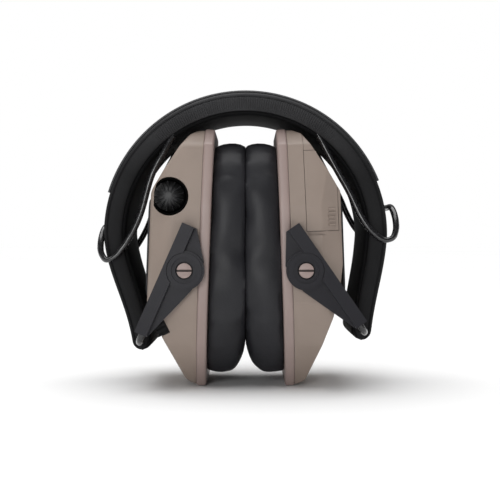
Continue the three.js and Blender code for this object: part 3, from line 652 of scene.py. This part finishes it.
def batteryDoor():
    body = cupBody(0, cup["lipX"] - 6, cup["edge"], "right")
    joined(body, cupBody(-doorPlace["thickness"], cup["lipX"] - 8, 0, "right"), "DIFFERENCE")
    joined(body, doorBlock(0), "INTERSECT")
    hingeAt = (0, -doorPlace["hingeY"] * mm, doorPlace["hingeZ"] * mm)
    knuckle = cylinder(doorPlace["knuckle"] * mm, (doorPlace["fromX"] + 0.05) * mm,
                       doorPlace["knuckleEnd"] * mm, hingeAt, "X", 32)
    joined(body, knuckle, "UNION")
    # grip ridges across the slanting corner
    (x1, y1), (x2, y2) = cup["chamfer"]
    slant = math.atan2(y1 - y2, x2 - x1)
    half, proud = grip["length"] / 2 * mm, grip["height"] * mm
    for i in range(grip["ridges"]):
        ridge = block((-half, -proud, -0.4 * mm), (half, 0.5 * mm, 0.4 * mm))
        rounded(ridge, 0.3 * mm, 3)
        at = Vector(((x1 + (x2 - x1) * grip["along"]) * mm, -(y1 + (y2 - y1) * grip["along"]) * mm,
                     (grip["fromZ"] + grip["pitch"] * i) * mm))
        ridge.data.transform(Matrix.Translation(at) @ Matrix.Rotation(slant, 4, "Z"))
        joined(body, ridge, "UNION")
    return body


def sealPlate():
    plate = cupBody(cup["plateProud"], cup["lipX"] - 12, 0)
    trimmed(plate, ((cup["lipX"] + cup["plateThickness"]) * mm, 0, 0), (1, 0, 0))
    trimmed(plate, (cup["lipX"] * mm, 0, 0), (-1, 0, 0))
    rounded(plate, 1.1 * mm, 4, 8)
    hole = cylinder(20.3 * mm, -30 * mm, 0, (0, 0, 5.5 * mm), "X", 96)
    joined(plate, hole, "DIFFERENCE")
    return plate


for side in sides:
    body = f"{side}_cup"
    shellPiece = leftShell() if side == "left" else rightShell()
    moved(shellPiece, cupPlace(side))
    smoothed(named(shellPiece, f"{side}CupShell"), 24)
    fitted(shellPiece, body, "tan_shell", finish["tan"], f"{side}_cup_shell")
    platePiece = moved(sealPlate(), cupPlace(side))
    smoothed(named(platePiece, f"{side}SealPlate"), 30)
    fitted(platePiece, body, "tan_shell", finish["lip"], f"{side}_seal_plate")
well = smoothed(named(moved(knobWell(), cupPlace("left")), "knobWell"), 30)
fitted(well, "left_cup", "knob_rubber", finish["well"])
door = smoothed(named(moved(batteryDoor(), cupPlace("right")), "batteryDoor"), 24)
fitted(door, "battery_door", "tan_shell", finish["tan"], "right_battery_door")
pin = cylinder(doorPlace["pin"] * mm, (doorPlace["fromX"] + 0.4) * mm, (doorPlace["knuckleEnd"] - 0.3) * mm,
               (0, -doorPlace["hingeY"] * mm, doorPlace["hingeZ"] * mm), "X", 24)
pin = smoothed(named(moved(pin, cupPlace("right")), "hingePin"), 30)
fitted(pin, "right_cup", "bare_steel", finish["steel"], "right_battery_door_pin")
print("stage: cups")


# volume knob, audio jack, overlays, grilles

knob = {"radius": 6.6, "faceY": 38.4, "baseY": 33.3, "ribs": 13, "perRib": 12, "rings": 6, "deep": 3.0,
        "hub": 1.7, "dome": 0.6, "sharpness": 2.4}


def volumeKnob():
    # a turned blank whose face is cut by wedge-shaped grooves between narrow ribs
    count = knob["ribs"] * knob["perRib"]
    x, z = knobPlace["x"] * mm, knobPlace["z"] * mm
    piece = cylinder(knob["radius"] * mm, -knob["faceY"] * mm, -knob["baseY"] * mm, (x, 0, z),
                     vertices=count)
    selectWhere(piece, "FACE", lambda centre, normal: normal.y < -0.9)
    onlySelect(piece)
    bpy.ops.object.mode_set(mode="EDIT")
    step = (knob["radius"] - knob["hub"]) / knob["rings"]
    for _ in range(knob["rings"]):
        bpy.ops.mesh.inset(thickness=step * mm)
    bpy.ops.mesh.inset(thickness=knob["hub"] * 0.6 * mm)
    bpy.ops.object.mode_set(mode="OBJECT")
    for vertex in piece.data.vertices:
        if vertex.co.y > -(knob["faceY"] - 0.1) * mm:
            continue
        across, up = vertex.co.x - x, vertex.co.z - z
        radius = math.hypot(across, up) / mm
        angle = math.atan2(up, across) * knob["ribs"]
        rib = max(0.0, math.cos(angle)) ** knob["sharpness"]
        reach = max(0.0, (radius - knob["hub"]) / (knob["radius"] - knob["hub"]))
        vertex.co.y += mm * (knob["deep"] * (1 - rib) * reach ** 1.3 + knob["dome"] * (reach ** 2) * 0.6)
    return piece


knobPiece = smoothed(named(moved(volumeKnob(), cupPlace("left")), "volumeKnob"), 50)
fitted(knobPiece, "volume_knob", "knob_rubber", finish["knob"], "left_volume_knob")

refinements = [
    # CAD node, new piece, edge width in mm, slot, finish
    ("left_audio_jack_cover", "audioJackCover", 0.35, "knob_rubber", "knob"),
    ("left_outer_overlay", "leftOuterOverlay", 0.3, "black_panel", "overlay"),
    ("right_outer_overlay", "rightOuterOverlay", 0.3, "black_panel", "overlay"),
    ("left_microphone_grille", "leftMicrophoneGrille", 0.25, "foam", "foam"),
    ("right_microphone_grille", "rightMicrophoneGrille", 0.25, "foam", "foam"),
    ("left_foam_liner", "leftFoamLiner", 0.6, "foam", "foam"),
    ("right_foam_liner", "rightFoamLiner", 0.6, "foam", "foam"),
    ("right_battery_cell_front", "frontCell", 0.25, "cell_jacket", "cell"),
    ("right_battery_cell_rear", "rearCell", 0.25, "cell_jacket", "cell"),
    ("right_battery_holder", "batteryHolder", 0.2, "arm_plastic", "arm"),
]
bodyOf = {node: body for body, nodes in frame["record"]["behaviour"]["bodies"].items() for node in nodes}
for node, name, width, slotName, look in refinements:
    piece = nodeCopy(node, name)
    rounded(piece, width * mm, 2, 40)
    smoothed(piece, 40)
    fitted(piece, bodyOf[node], slotName, finish[look], node)
print("stage: knob, jack, overlays")


# arms and pivot posts

arm = {
    "from": 4.7, "to": 55.5, "ribHalf": 3.3, "pinA": 37.0, "pinB": 5.75,
    "innerY": 39.6, "webY": 42.4, "bossY": 44.1, "ringY": 44.7, "ribY": 45.2,
    "bossRadius": 8.5, "ringInner": 5.6, "ringOuter": 7.5, "hole": 3.15, "counterbore": 3.8,
    "counterboreDepth": 1.7, "legY": 42.0, "bore": 1.55, "edge": 0.35,
}


def slidingArm():
    # drawn in its leg's frame: x along the leg, y outwards, z towards the cup
    a = arm
    web = block([v * mm for v in (a["from"], a["innerY"], -a["ribHalf"])],
                [v * mm for v in (a["to"], a["webY"], a["pinB"] + 6.2)])
    corners = [((a["from"] + 2, a["ribHalf"]), (a["pinA"] - 6.5, a["pinB"] + 6.2)),
               ((a["pinA"] + 6.5, a["pinB"] + 6.2), (a["to"], a["ribHalf"]))]
    for (x1, z1), (x2, z2) in corners:
        run = Vector((x2 - x1, z2 - z1)).normalized()
        trimmed(web, (x1 * mm, 0, z1 * mm), (-run.y, 0, run.x))
    pin = (a["pinA"] * mm, 0, a["pinB"] * mm)
    boss = cylinder(a["bossRadius"] * mm, a["innerY"] * mm, a["bossY"] * mm, pin, vertices=96)
    joined(web, boss, "UNION")
    rib = block([v * mm for v in (a["from"] + 0.02, a["innerY"] + 1, -a["ribHalf"] + 0.02)],
                [v * mm for v in (a["to"], a["ribY"], a["ribHalf"] - 1)])
    joined(rib, cylinder((a["bossRadius"] - 0.8) * mm, a["webY"] * mm, 50 * mm, pin, vertices=96),
           "DIFFERENCE")
    joined(web, rib, "UNION")
    ring = cylinder(a["ringOuter"] * mm, (a["innerY"] + 1) * mm, a["ringY"] * mm, pin, vertices=96)
    joined(ring, cylinder(a["ringInner"] * mm, (a["bossY"] - 0.6) * mm, 50 * mm, pin, vertices=96),
           "DIFFERENCE")
    joined(web, ring, "UNION")
    joined(web, cylinder(a["hole"] * mm, 30 * mm, 50 * mm, pin, vertices=48), "DIFFERENCE")
    joined(web, cylinder(a["counterbore"] * mm, (a["bossY"] - a["counterboreDepth"]) * mm, 50 * mm, pin,
                         vertices=64), "DIFFERENCE")
    bore = cylinder(a["bore"] * mm, (a["from"] - 2) * mm, (a["to"] + 2) * mm,
                    (0, a["legY"] * mm, 0), "X", 32)
    joined(web, bore, "DIFFERENCE")
    rounded(web, a["edge"] * mm, 2, 40)
    return web


post = {"shaft": 2.8, "head": 3.2, "fromY": 34.5, "headY": 45.0, "headHeight": 1.2, "slotWidth": 0.9,
        "slotDepth": 0.9, "edge": 0.3}


def pivotPost():
    # drawn about the pin's axis, head outwards
    head = cylinder(post["head"] * mm, (post["headY"] - post["headHeight"]) * mm, post["headY"] * mm,
                    (0, 0, 0))
    shaft = cylinder(post["shaft"] * mm, post["fromY"] * mm, (post["headY"] - 0.5) * mm, (0, 0, 0))
    joined(head, shaft, "UNION")
    half = post["slotWidth"] / 2
    slot = block([v * mm for v in (-6, post["headY"] - post["slotDepth"], -half)],
                 [v * mm for v in (6, post["headY"] + 1, half)])
    joined(head, slot, "DIFFERENCE")
    return rounded(head, post["edge"] * mm, 2, 40)


armBlank = slidingArm()
postBlank = pivotPost()
for side in sides:
    for end, word in ((-1, "front"), (1, "rear")):
        piece = copied(armBlank, f"{side}{word.title()}Arm")
        moved(piece, legPlace(side, end))
        evenlyLit(piece)
        fitted(piece, f"{side}_arms", "arm_plastic", finish["arm"], f"{side}_{word}_arm")
        piece = copied(postBlank, f"{side}{word.title()}PivotPost")
        pin = Vector(joints[f"{side}_cup_pivot"]["pos_m"])
        moved(piece, Matrix.Translation(pin) @ Matrix.Diagonal((1, end, 1, 1)))
        smoothed(piece, 35)
        fitted(piece, f"{side}_cup", "tan_shell", finish["post"], f"{side}_{word}_pivot_post")
for blank in (armBlank, postBlank):
    bpy.data.objects.remove(blank)
print("stage: arms and posts")


# ear cushions

cushionLook = {"voxel": 4.0, "pressure": 100.0, "mass": 0.1, "slack": 0.02, "frames": 20, "cap": 6.0,
               "shrink": 0.96, "grow": 0.3, "press": 2.6, "sink": 4.5, "openFrom": 46.0, "opening": 5.4,
               "openingCurve": 1.3, "heldDepth": 2.5, "plateGap": 0.15, "contactGap": 0.01}


def earCushion(side):
    # a foam ring under soft leather: a short cloth simulation slackens the cover, then the whole is
    # stretched to the size of its CAD node and pressed flat on the plate and on its neighbour
    node = f"{side}_ear_cushion"
    lo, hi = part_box(node)
    middle = (lo + hi) / 2
    outward = 1 if side == "right" else -1
    # both cushions press on the plane midway between them
    meeting = (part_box("left_ear_cushion")[1].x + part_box("right_ear_cushion")[0].x) / 2
    meeting += outward * cushionLook["contactGap"] * mm
    toRow = cupPlace(side)
    toCup = toRow.inverted()
    backX = (cup["lipX"] - cushionLook["plateGap"]) * mm
    heldFrom = backX - cushionLook["heldDepth"] * mm
    piece = nodeCopy(node, f"{side}EarCushion")
    for vertex in piece.data.vertices:
        for axis in (1, 2):
            vertex.co[axis] = middle[axis] + (vertex.co[axis] - middle[axis]) * cushionLook["shrink"]
    finishWith(piece, "REMESH", mode="VOXEL", voxel_size=cushionLook["voxel"] * mm)
    start = [vertex.co.copy() for vertex in piece.data.vertices]
    scene = bpy.context.scene
    held = piece.vertex_groups.new(name="held")
    held.add([i for i, co in enumerate(start) if (toCup @ co).x > heldFrom], 1.0, "REPLACE")
    onlySelect(piece)
    cloth = piece.modifiers.new("Cloth", "CLOTH")
    cloth.settings.use_pressure = True
    cloth.settings.uniform_pressure_force = cushionLook["pressure"]
    cloth.settings.vertex_group_mass = "held"
    cloth.settings.effector_weights.gravity = 0
    cloth.settings.mass = cushionLook["mass"]
    cloth.settings.shrink_min = -cushionLook["slack"]
    cloth.point_cache.frame_start = 1
    cloth.point_cache.frame_end = cushionLook["frames"]
    for frameNumber in range(1, cushionLook["frames"] + 1):
        scene.frame_set(frameNumber)
    bpy.ops.object.modifier_apply(modifier=cloth.name)
    scene.frame_set(1)
    # the cover can't stretch past its pattern
    cap = cushionLook["cap"] * mm
    for vertex, co in zip(piece.data.vertices, start):
        step = vertex.co - co
        if step.length > cap:
            vertex.co = co + step.normalized() * cap
    finishWith(piece, "SUBSURF", levels=1, render_levels=1)
    # drawn out to its full size, flat on the plate and on its neighbour, drawn back towards the foot
    grow = cushionLook["grow"] * mm
    ends = [[pick(vertex.co[axis] for vertex in piece.data.vertices) for pick in (min, max)]
            for axis in range(3)]
    for vertex in piece.data.vertices:
        for axis in (1, 2):
            share = (vertex.co[axis] - ends[axis][0]) / (ends[axis][1] - ends[axis][0])
            vertex.co[axis] = lo[axis] - grow + share * (hi[axis] - lo[axis] + 2 * grow)
        share = (vertex.co.x - ends[0][0]) / (ends[0][1] - ends[0][0])
        if outward > 0:
            share = 1 - share
        low = max(0.0, cushionLook["openFrom"] - vertex.co.z / mm) / cushionLook["openFrom"]
        reach = (cushionLook["press"] - cushionLook["opening"] * low ** cushionLook["openingCurve"]) * mm
        vertex.co.x -= outward * (share * reach - (1 - share) * cushionLook["sink"] * mm)
        local = toCup @ vertex.co
        local.x = min(local.x, backX)
        vertex.co = toRow @ local
        if (vertex.co.x - meeting) * outward < 0:
            vertex.co.x = meeting
    return piece


for side in sides:
    piece = smoothed(earCushion(side), 60)
    fitted(piece, f"{side}_cup", "cushion_leather", finish["cushion"], f"{side}_ear_cushion")
print("stage: ear cushions")


# headband

band = {
    "outerRadius": 63.4, "thickness": 10.0, "halfWidth": 25.0, "panelRise": 1.25,
    "endHalf": 4.3, "slimFrom": 42.0, "ringPitch": 0.5, "ribDepth": 0.4,
    "ribFull": math.radians(34), "ribGone": math.radians(56),
    "panelThickness": 1.1, "panelHalf": 22.6, "panelEnds": {"left": 73, "right": 68},
}
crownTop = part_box("headband_crown_panel")[1].z - band["panelRise"] * mm
middleX = (joints["left_band_flex"]["pos_m"][0] + joints["right_band_flex"]["pos_m"][0]) / 2
bandCentre = Vector((middleX, 0, crownTop - band["outerRadius"] * mm))
midRadius = (band["outerRadius"] - band["thickness"] / 2) * mm


def bandPath():
    # the sleeve's middle line, drawn flat in XY: left hinge, left side, crown, right side, right hinge
    curve = bpy.data.curves.new("bandPath", "CURVE")
    curve.dimensions = "2D"
    curve.resolution_u = 64
    spline = curve.splines.new("BEZIER")
    spline.bezier_points.add(4)
    hinges = {side: Vector(joints[f"{side}_fold"]["pos_m"]) for side in sides}
    arc = midRadius * 0.5523
    points = []
    for side, outward in (("left", -1), ("right", 1)):
        hinge = hinges[side]
        below = Vector((hinge.x - outward * 0.35 * mm, hinge.z - band["endHalf"] * mm))
        toward = Vector((hinge.x + outward * 1.6 * mm, hinge.z + 17 * mm))
        shoulder = Vector((bandCentre.x + outward * midRadius, bandCentre.z))
        under = shoulder + Vector((-outward * 1 * mm, -17.2 * mm))
        over = shoulder + Vector((0, arc))
        points.append((below, toward, shoulder, under, over))
    crown = Vector((bandCentre.x, bandCentre.z + midRadius))
    (below, toward, shoulder, under, over) = points[0]
    (below2, toward2, shoulder2, under2, over2) = points[1]
    knots = [
        (below - (toward - below) * 0.1, below, toward),
        (under, shoulder, over),
        (crown - Vector((arc, 0)), crown, crown + Vector((arc, 0))),
        (over2, shoulder2, under2),
        (toward2, below2, below2 - (toward2 - below2) * 0.1),
    ]
    for point, (before, at, after) in zip(spline.bezier_points, knots):
        point.handle_left_type = point.handle_right_type = "FREE"
        point.co = (*at, 0)
        point.handle_left = (*before, 0)
        point.handle_right = (*after, 0)
    path = bpy.data.objects.new("bandPath", curve)
    bpy.context.scene.collection.objects.link(path)
    return path


def pathLengths(path):
    # whole length, and the length from the left end to the crown
    def lengthOf(first, last):
        total = 0.0
        points = path.data.splines[0].bezier_points
        for i in range(first, last):
            a, b = points[i], points[i + 1]
            previous = a.co
            for k in range(1, 65):
                t = k / 64
                u = 1 - t
                at = (a.co * u ** 3 + 3 * a.handle_right * u * u * t + 3 * b.handle_left * u * t * t
                      + b.co * t ** 3)
                total += (at - previous).length
                previous = at
        return total
    return lengthOf(0, 4), lengthOf(0, 2)


def sleeveProfile():
    # half of the section's outline as (across, out), from the middle of the outside to the inside's
    half = band["halfWidth"]
    points = [(0, 5.0), (7, 5.0), (14, 5.0), (20, 5.0), (22.4, 4.95), (23.4, 4.7), (24.1, 4.2), (24.2, 3.7)]
    points += [(23.9, 3.35)]                                     # dip between outside and rolled trim
    for i in range(9):                                           # ribbed trim, a flat roll
        turn = math.pi / 2 - math.pi * i / 8
        points.append((23.7 + (half - 23.7) * math.cos(turn), -0.1 + 3.2 * math.sin(turn)))
    points += [(23.4, -3.5), (23.7, -3.85), (23.3, -4.6), (21.8, -5.0)]   # seam, then the soft inside
    points += [(18, -5.1), (12, -5.15), (6, -5.2), (0, -5.2)]
    return points


def strap(name, profile, fromS, toS, pitch):
    # a closed section, drawn across and out, extruded straight along x in equal steps
    outline = profile + [(-across, out) for across, out in reversed(profile[1:-1])]
    bpy.ops.object.select_all(action="DESELECT")
    bpy.ops.mesh.primitive_circle_add(vertices=len(outline), radius=0.01, fill_type="NGON")
    piece = named(bpy.context.object, name)
    for vertex, (across, out) in zip(piece.data.vertices, outline):
        vertex.co = (fromS, out * mm, across * mm)
    steps = round((toS - fromS) / (pitch * mm))
    onlySelect(piece)
    bpy.ops.object.mode_set(mode="EDIT")
    bpy.ops.mesh.select_all(action="SELECT")
    bpy.ops.mesh.extrude_repeat(steps=steps, offset=((toS - fromS) / steps, 0, 0))
    bpy.ops.object.mode_set(mode="OBJECT")
    capStart = [v.index for v in piece.data.vertices if abs(v.co.x - fromS) < 1e-7]
    print("strap", name, len(outline), steps, len(capStart), len(piece.data.vertices))
    return piece


def wrapped(piece, path):
    # bends the straight strap along the path, then stands it up
    finishWith(piece, "CURVE", object=path, deform_axis="POS_X")
    piece.data.transform(Matrix.Rotation(math.pi / 2, 4, "X"))
    onlySelect(piece)
    bpy.ops.object.mode_set(mode="EDIT")
    bpy.ops.mesh.select_all(action="SELECT")
    bpy.ops.mesh.remove_doubles(threshold=1e-6)
    bpy.ops.mesh.normals_make_consistent(inside=False)
    bpy.ops.object.mode_set(mode="OBJECT")
    return piece


path = bandPath()
wholeLength, crownAt = pathLengths(path)


def sleeve():
    piece = strap("sleeve", sleeveProfile(), 0, wholeLength, band["ringPitch"])
    half = band["thickness"] / 2
    for vertex in piece.data.vertices:
        s = vertex.co.x / mm
        toEnd = min(s, wholeLength / mm - s)
        slim = min(1.0, band["endHalf"] / half + (1 - band["endHalf"] / half) * toEnd / band["slimFrom"])
        if toEnd < band["endHalf"]:
            slim *= math.sqrt(max(0.0, 1 - (1 - toEnd / band["endHalf"]) ** 2)) * 0.98 + 0.02
        out = vertex.co.y / mm
        across = vertex.co.z / mm
        angle = abs(s * mm - crownAt) / midRadius
        strength = min(1.0, max(0.0, (band["ribGone"] - angle) / (band["ribGone"] - band["ribFull"])))
        if abs(across) > 23.4 and -3.4 < out < 3.5 and round(s / band["ringPitch"]) % 2:
            across -= math.copysign(band["ribDepth"] * strength, across)
        vertex.co.y = out * slim * mm
        vertex.co.z = across * mm
    # tells the ribbon trim from the dull lining; on the trim the mark is painted light, full at the crown, where
    # the top is lit, and fading down the sides
    trim = piece.data.attributes.new("trim", "FLOAT", "POINT")
    for vertex, mark in zip(piece.data.vertices, trim.data):
        angle = abs(vertex.co.x - crownAt) / midRadius
        crownLight = min(1.0, max(0.25, 1.35 - angle))
        mark.value = crownLight if vertex.co.y > -3.2 * mm else 0.0
    return wrapped(piece, path)


def outerPanel():
    inside = band["thickness"] / 2 + 0.03
    outside = inside + band["panelThickness"]
    half = band["panelHalf"]
    profile = [(0, outside), (half - 6, outside), (half - 0.8, outside - 0.05), (half - 0.2, outside - 0.3),
               (half, outside - 0.6), (half, inside + 0.2), (half - 0.3, inside), (0, inside)]
    fromS = crownAt - math.radians(band["panelEnds"]["left"]) * midRadius
    toS = crownAt + math.radians(band["panelEnds"]["right"]) * midRadius
    return wrapped(strap("panel", profile, fromS, toS, 1.5), path)


def halved(piece, side, name):
    half = copied(piece, name)
    half.data.name = name
    outward = 1 if side == "right" else -1
    return trimmed(half, (middleX, 0, 0), (-outward, 0, 0))


def bendsOpen(piece):
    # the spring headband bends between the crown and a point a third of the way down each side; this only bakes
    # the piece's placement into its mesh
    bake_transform(piece)


wholeSleeve = sleeve()
wholePanel = outerPanel()
for side in sides:
    piece = smoothed(halved(wholeSleeve, side, f"{side}HeadbandSleeve"), 50)
    piece.data.materials.append(finish["band"])
    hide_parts("headband_crown_pad", f"{side}_headband_pad")
    bendsOpen(piece)
    piece = smoothed(halved(wholePanel, side, f"{side}HeadbandPanel"), 40)
    piece.data.materials.append(finish["panel"])
    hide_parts("headband_crown_panel", f"{side}_headband_panel")
    bendsOpen(piece)
for blank in (wholeSleeve, wholePanel, path):
    bpy.data.objects.remove(blank)
print("stage: headband")


# wires, barrels, rivets

wireLook = {"fatten": 0.28}


def smoothWire(node, name):
    # an eight-sided CAD wire rounded by subdivision, then brought back to its own thickness
    piece = nodeCopy(node, name, dissolve=0)
    finishWith(piece, "SUBSURF", levels=2, render_levels=2)
    onlySelect(piece)
    bpy.ops.object.mode_set(mode="EDIT")
    bpy.ops.mesh.select_all(action="SELECT")
    bpy.ops.transform.shrink_fatten(value=wireLook["fatten"] * mm)
    bpy.ops.object.mode_set(mode="OBJECT")
    return smoothed(piece, 60)


for side in sides:
    piece = smoothWire(f"{side}_spring_wire", f"{side}SpringWire")
    piece.data.materials.append(finish["wire"])
    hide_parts(f"{side}_spring_wire")
    bendsOpen(piece)
    piece = smoothWire(f"{side}_fork_wire", f"{side}ForkWire")
    fitted(piece, f"{side}_fork", "spring_steel", finish["wire"], f"{side}_fork_wire")

for node, wanted in {
    "crown_front_spring_wire": "wire", "crown_rear_spring_wire": "wire",
    "left_hinge_barrel": "arm", "right_hinge_barrel": "arm",
    "left_front_strap_rivet": "wire", "left_rear_strap_rivet": "wire",
    "right_front_strap_rivet": "wire", "right_rear_strap_rivet": "wire",
    "left_speaker": "steel", "right_speaker": "steel",
    "left_speaker_grille": "arm", "right_speaker_grille": "arm",
    "left_circuit_board": "circuit", "right_circuit_board": "circuit",
    "left_volume_potentiometer": "steel", "left_audio_jack_socket": "arm",
    "right_battery_contact": "steel",
}.items():
    cadPiece = frame["nodes"][node]
    cadPiece.data.materials.clear()
    cadPiece.data.materials.append(finish[wanted])
print("stage: wires and small parts")
